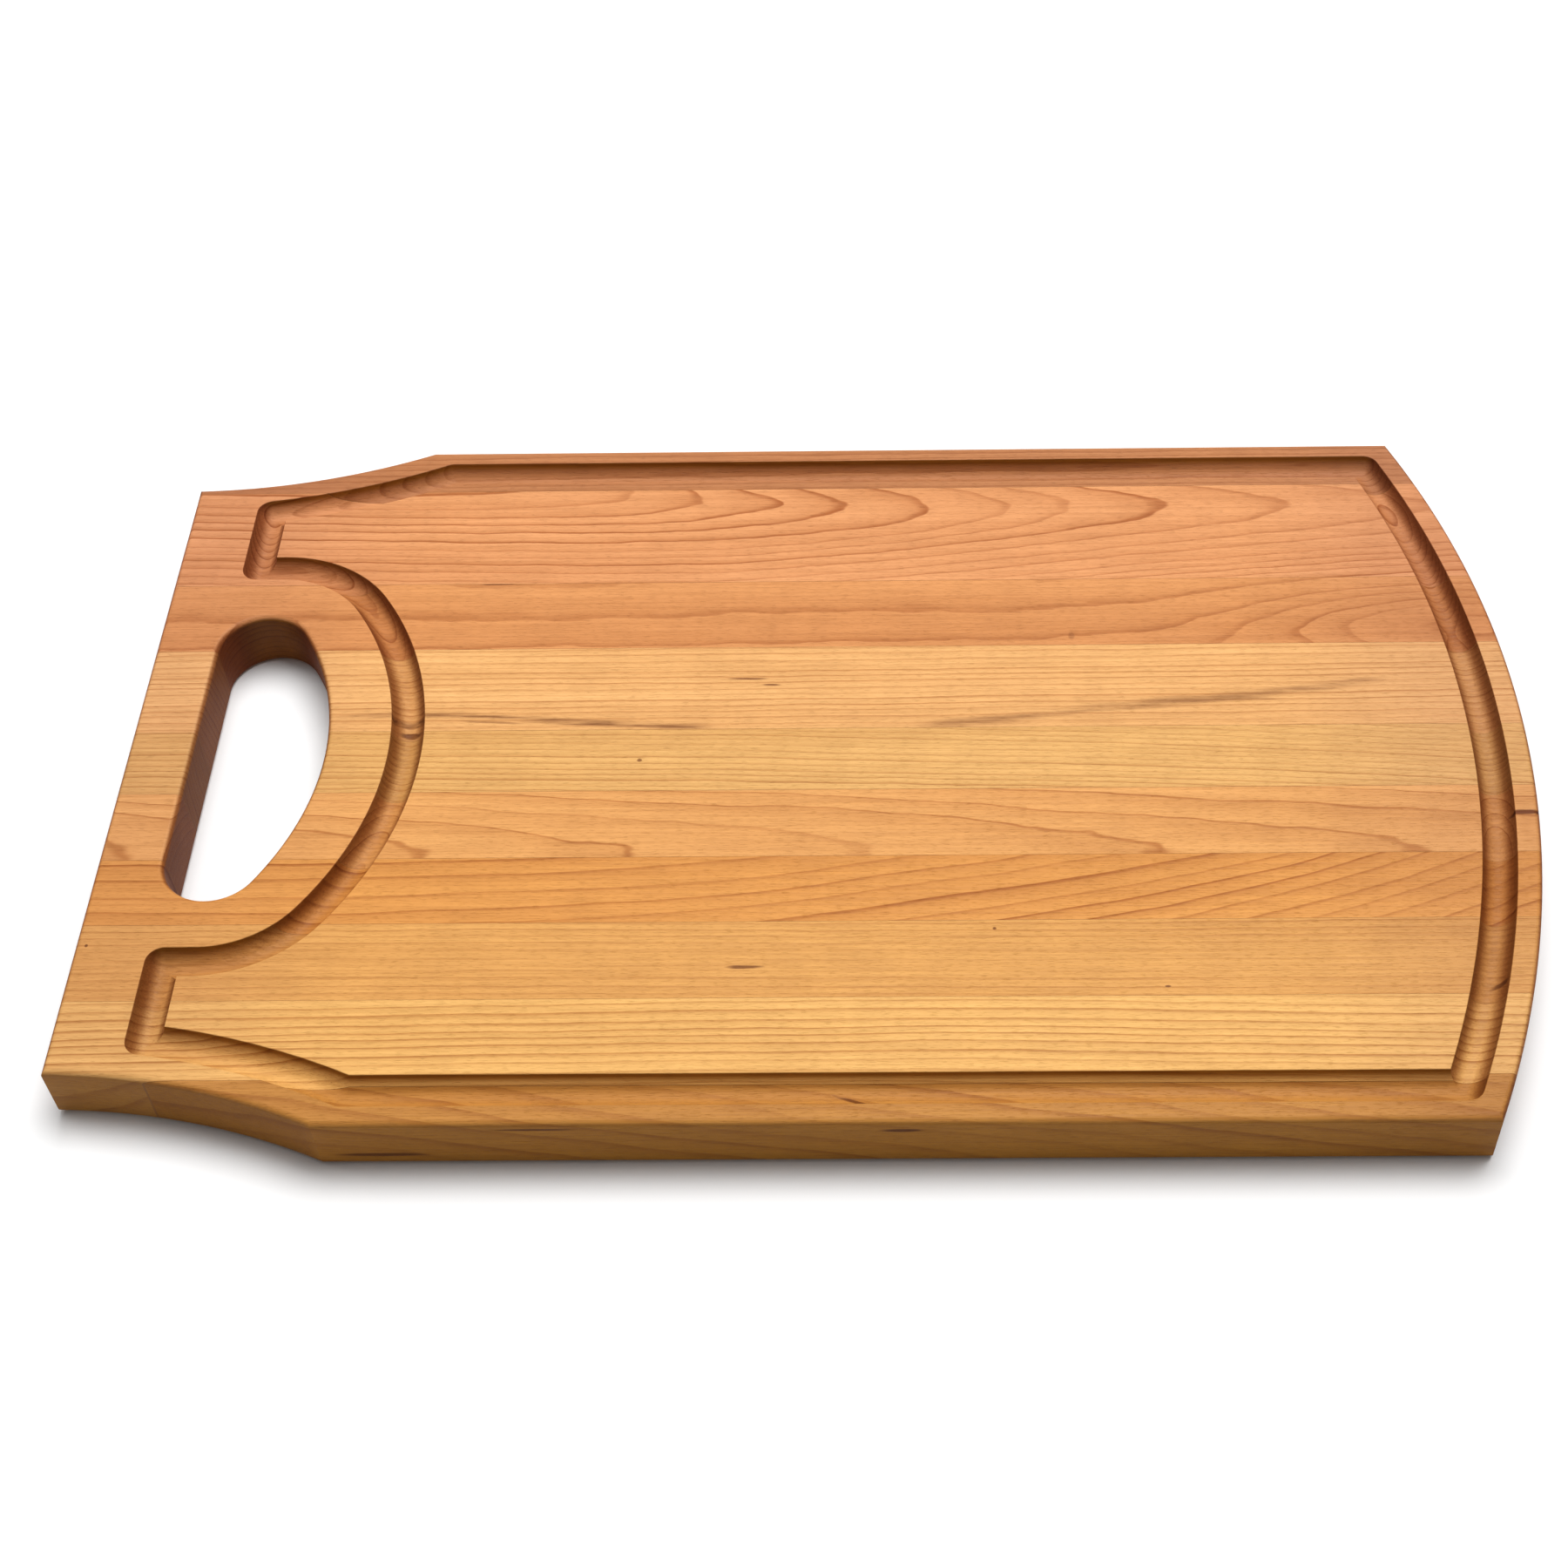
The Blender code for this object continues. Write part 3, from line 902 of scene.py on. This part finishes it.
# One look for each stave, from the back edge to the front edge
LOOKS = {
    "a": look(
        pale=(0.43, 0.175, 0.068), heart=(0.30, -0.10), taper=0.004, spacing=0.0024,
        line=0.5, wave=0.004, seed=1.3,
    ),
    "b": look(
        pale=(0.62, 0.27, 0.106), heart=(0.096, -0.25), taper=0.095, spacing=0.0021,
        line=1.0, width=0.20, wave=0.0025, seed=2.7,
        figure=ridge(
            y=0.098, width=0.014, height=0.0084, turn_x=0.17, turn=0.22, turn_length=0.05,
            slowing=0.10,
        ),
    ),
    "c": look(
        pale=(0.57, 0.240, 0.080), heart=(0.079, -0.13), taper=0.0, spacing=0.0021,
        line=0.65, width=0.22, wave=0.002, seed=3.1,
        figure=bulge(x=0.400, y=0.049, length=0.068, width=0.016, height=0.010),
        marks=(
            fleck(0.101, 0.0672, 0.007, 0.0008),
            fleck(0.276, 0.0435, 0.0012, 0.0022, strength=0.3),
        ),
    ),
    "d": look(
        pale=(0.68, 0.360, 0.131), heart=(-0.25, -0.05), taper=-0.006, spacing=0.0022,
        line=0.62, wave=0.005, seed=4.9,
        marks=(
            mineral_streak(
                points=(
                    (0.054, 0.0124), (0.086, 0.0134), (0.109, 0.0124),
                    (0.145, 0.0093), (0.173, 0.0079),
                ),
                half_width=0.0018, strength=0.85,
            ),
            mineral_streak(
                points=((0.227, 0.0073), (0.273, 0.0127), (0.318, 0.0182), (0.373, 0.0255)),
                half_width=0.0028, strength=0.6,
            ),
            fleck(0.1795, 0.0270, 0.0075, 0.0005),
            fleck(0.1865, 0.0245, 0.0035, 0.0005),
            fleck(0.0810, 0.0092, 0.0045, 0.0014, z=0.0145, half_height=0.0030),
            fleck(0.105, 0.0105, 0.012, 0.0006, slope=-0.06, strength=0.5),
        ),
    ),
    "e": look(
        pale=(0.62, 0.338, 0.110), heart=(0.25, -0.02), taper=-0.012, spacing=0.0021,
        line=0.62, wave=0.004, seed=5.2,
        figure=sweep(x=0.12, amount=-0.11),
        marks=(fleck(0.1495, -0.0045, 0.0010, 0.0009),),
    ),
    "f": look(
        pale=(0.64, 0.308, 0.097), heart=(-0.040, -0.0207), taper=0.032, spacing=0.0025,
        line=0.75, width=0.08, wave=0.003, seed=6.4,
        marks=(fleck(0.4015, -0.0260, 0.0065, 0.0011, half_height=0.008, strength=1.0),),
    ),
    "g": look(
        pale=(0.59, 0.255, 0.060), heart=(-0.30, 0.0), taper=0.0, spacing=0.0054,
        line=0.9, width=0.2, wave=0.010, seed=7.7,
        figure=sweep(x=0.10, amount=-0.66),
    ),
    "h": look(
        pale=(0.59, 0.287, 0.078), heart=(-0.30, -0.08), taper=0.003, spacing=0.0021,
        line=0.38, wave=0.003, seed=8.3,
        marks=(
            fleck(0.1835, -0.0780, 0.0062, 0.0008),
            fleck(0.0032, -0.0695, 0.0006, 0.0006),
            fleck(0.2510, -0.0655, 0.0007, 0.0007),
            fleck(0.2970, -0.0850, 0.0011, 0.0005),
            fleck(
                0.3860, -0.0830, 0.0040, 0.0012,
                slope=0.35, z=0.0160, half_height=0.0035, strength=0.75,
            ),
        ),
    ),
    "i": look(
        pale=(0.68, 0.372, 0.113), heart=(-0.34, -0.05), taper=0.0, spacing=0.0026,
        line=0.75, wave=0.004, seed=9.5,
        figure=arch(x=0.19, amount=0.075),
    ),
    "j": look(
        pale=(0.44, 0.192, 0.040), heart=(-0.25, -0.10), taper=0.14, spacing=0.0052,
        line=0.5, wave=0.012, seed=10.1,
        marks=(
            fleck(0.2165, -0.1190, 0.0100, 0.0009, slope=-0.38, z=0.0155, half_height=0.008),
            fleck(0.0230, -0.1130, 0.0012, 0.0010),
            fleck(0.0900, -0.1270, 0.0160, 0.0030, z=0.0045, half_height=0.0010),
            fleck(0.1310, -0.1270, 0.0140, 0.0030, z=0.0162, half_height=0.0006),
            fleck(0.2260, -0.1270, 0.0070, 0.0030, z=0.0150, half_height=0.0010),
        ),
    ),
}


def finish_pieces(pieces):
    """Give each piece its material, attach it to the root body and hide the CAD node it stands for."""
    wood_group = make_wood_group()
    materials = {"glue": glue_material()}
    for letter, stave_look in LOOKS.items():
        materials["cherry_" + letter] = stave_material(letter, stave_look, wood_group)
    slots = {part["node"]: part["material_slot"] for part in frame["record"]["subparts"]}
    for node, piece in pieces.items():
        piece.data.materials.clear()
        piece.data.materials.append(materials[slots[node]])
        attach(piece, "root")
        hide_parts(node)


def make_floor():
    """Plain pale floor just under the board."""
    floor = bmesh.new()
    bmesh.ops.create_grid(floor, x_segments=8, y_segments=8, size=FLOOR_HALF_SIZE)
    bmesh.ops.translate(floor, vec=(0, 0, -FLOOR_DROP), verts=floor.verts)
    made = object_from_bmesh("floor", floor)
    material, _, shader = new_material("pale_floor")
    shader.inputs["Base Color"].default_value = (*FLOOR_COLOUR, 1.0)
    shader.inputs["Roughness"].default_value = 0.9
    shader.inputs["Specular IOR Level"].default_value = 0.1
    made.data.materials.append(material)


def add_area_light(name, place, size, power):
    """Softbox that faces the middle of the board."""
    light = bpy.data.lights.new(name, "AREA")
    light.shape = "RECTANGLE"
    light.size, light.size_y = size
    light.energy = power
    made = bpy.data.objects.new(name, light)
    made.location = place
    made.rotation_euler = (-Vector(place)).to_track_quat("-Z", "Y").to_euler()
    bpy.context.scene.collection.objects.link(made)


def add_soft_sun():
    """Wide overhead light on the board and the whole floor."""
    light = bpy.data.lights.new("overhead_light", "SUN")
    light.energy = SUN_STRENGTH
    light.angle = SUN_ANGLE
    made = bpy.data.objects.new("overhead_light", light)
    made.rotation_euler = Vector(SUN_FROM).to_track_quat("Z", "Y").to_euler()
    bpy.context.scene.collection.objects.link(made)


def make_studio():
    make_floor()
    add_soft_sun()
    for name, place, size, power in LIGHTS:
        add_area_light(name, place, size, power)
    world = bpy.data.worlds.new("studio")
    world.use_nodes = True
    background = world.node_tree.nodes["Background"]
    background.inputs["Color"].default_value = (1.0, 1.0, 1.0, 1.0)
    background.inputs["Strength"].default_value = WORLD_STRENGTH
    bpy.context.scene.world = world
    bpy.context.scene.view_settings.view_transform = "Standard"


def make_camera():
    data = bpy.data.cameras.new("camera")
    data.lens = LENS_MM
    data.sensor_width = SENSOR_MM
    data.shift_x = CAMERA_SHIFT
    data.clip_start = CLIP_START
    camera = bpy.data.objects.new("camera", data)
    camera.location = CAMERA_PLACE
    camera.rotation_euler = CAMERA_TURN
    bpy.context.scene.collection.objects.link(camera)
    bpy.context.scene.camera = camera


make_camera()
board_pieces = make_pieces()
finish_pieces(board_pieces)
make_studio()
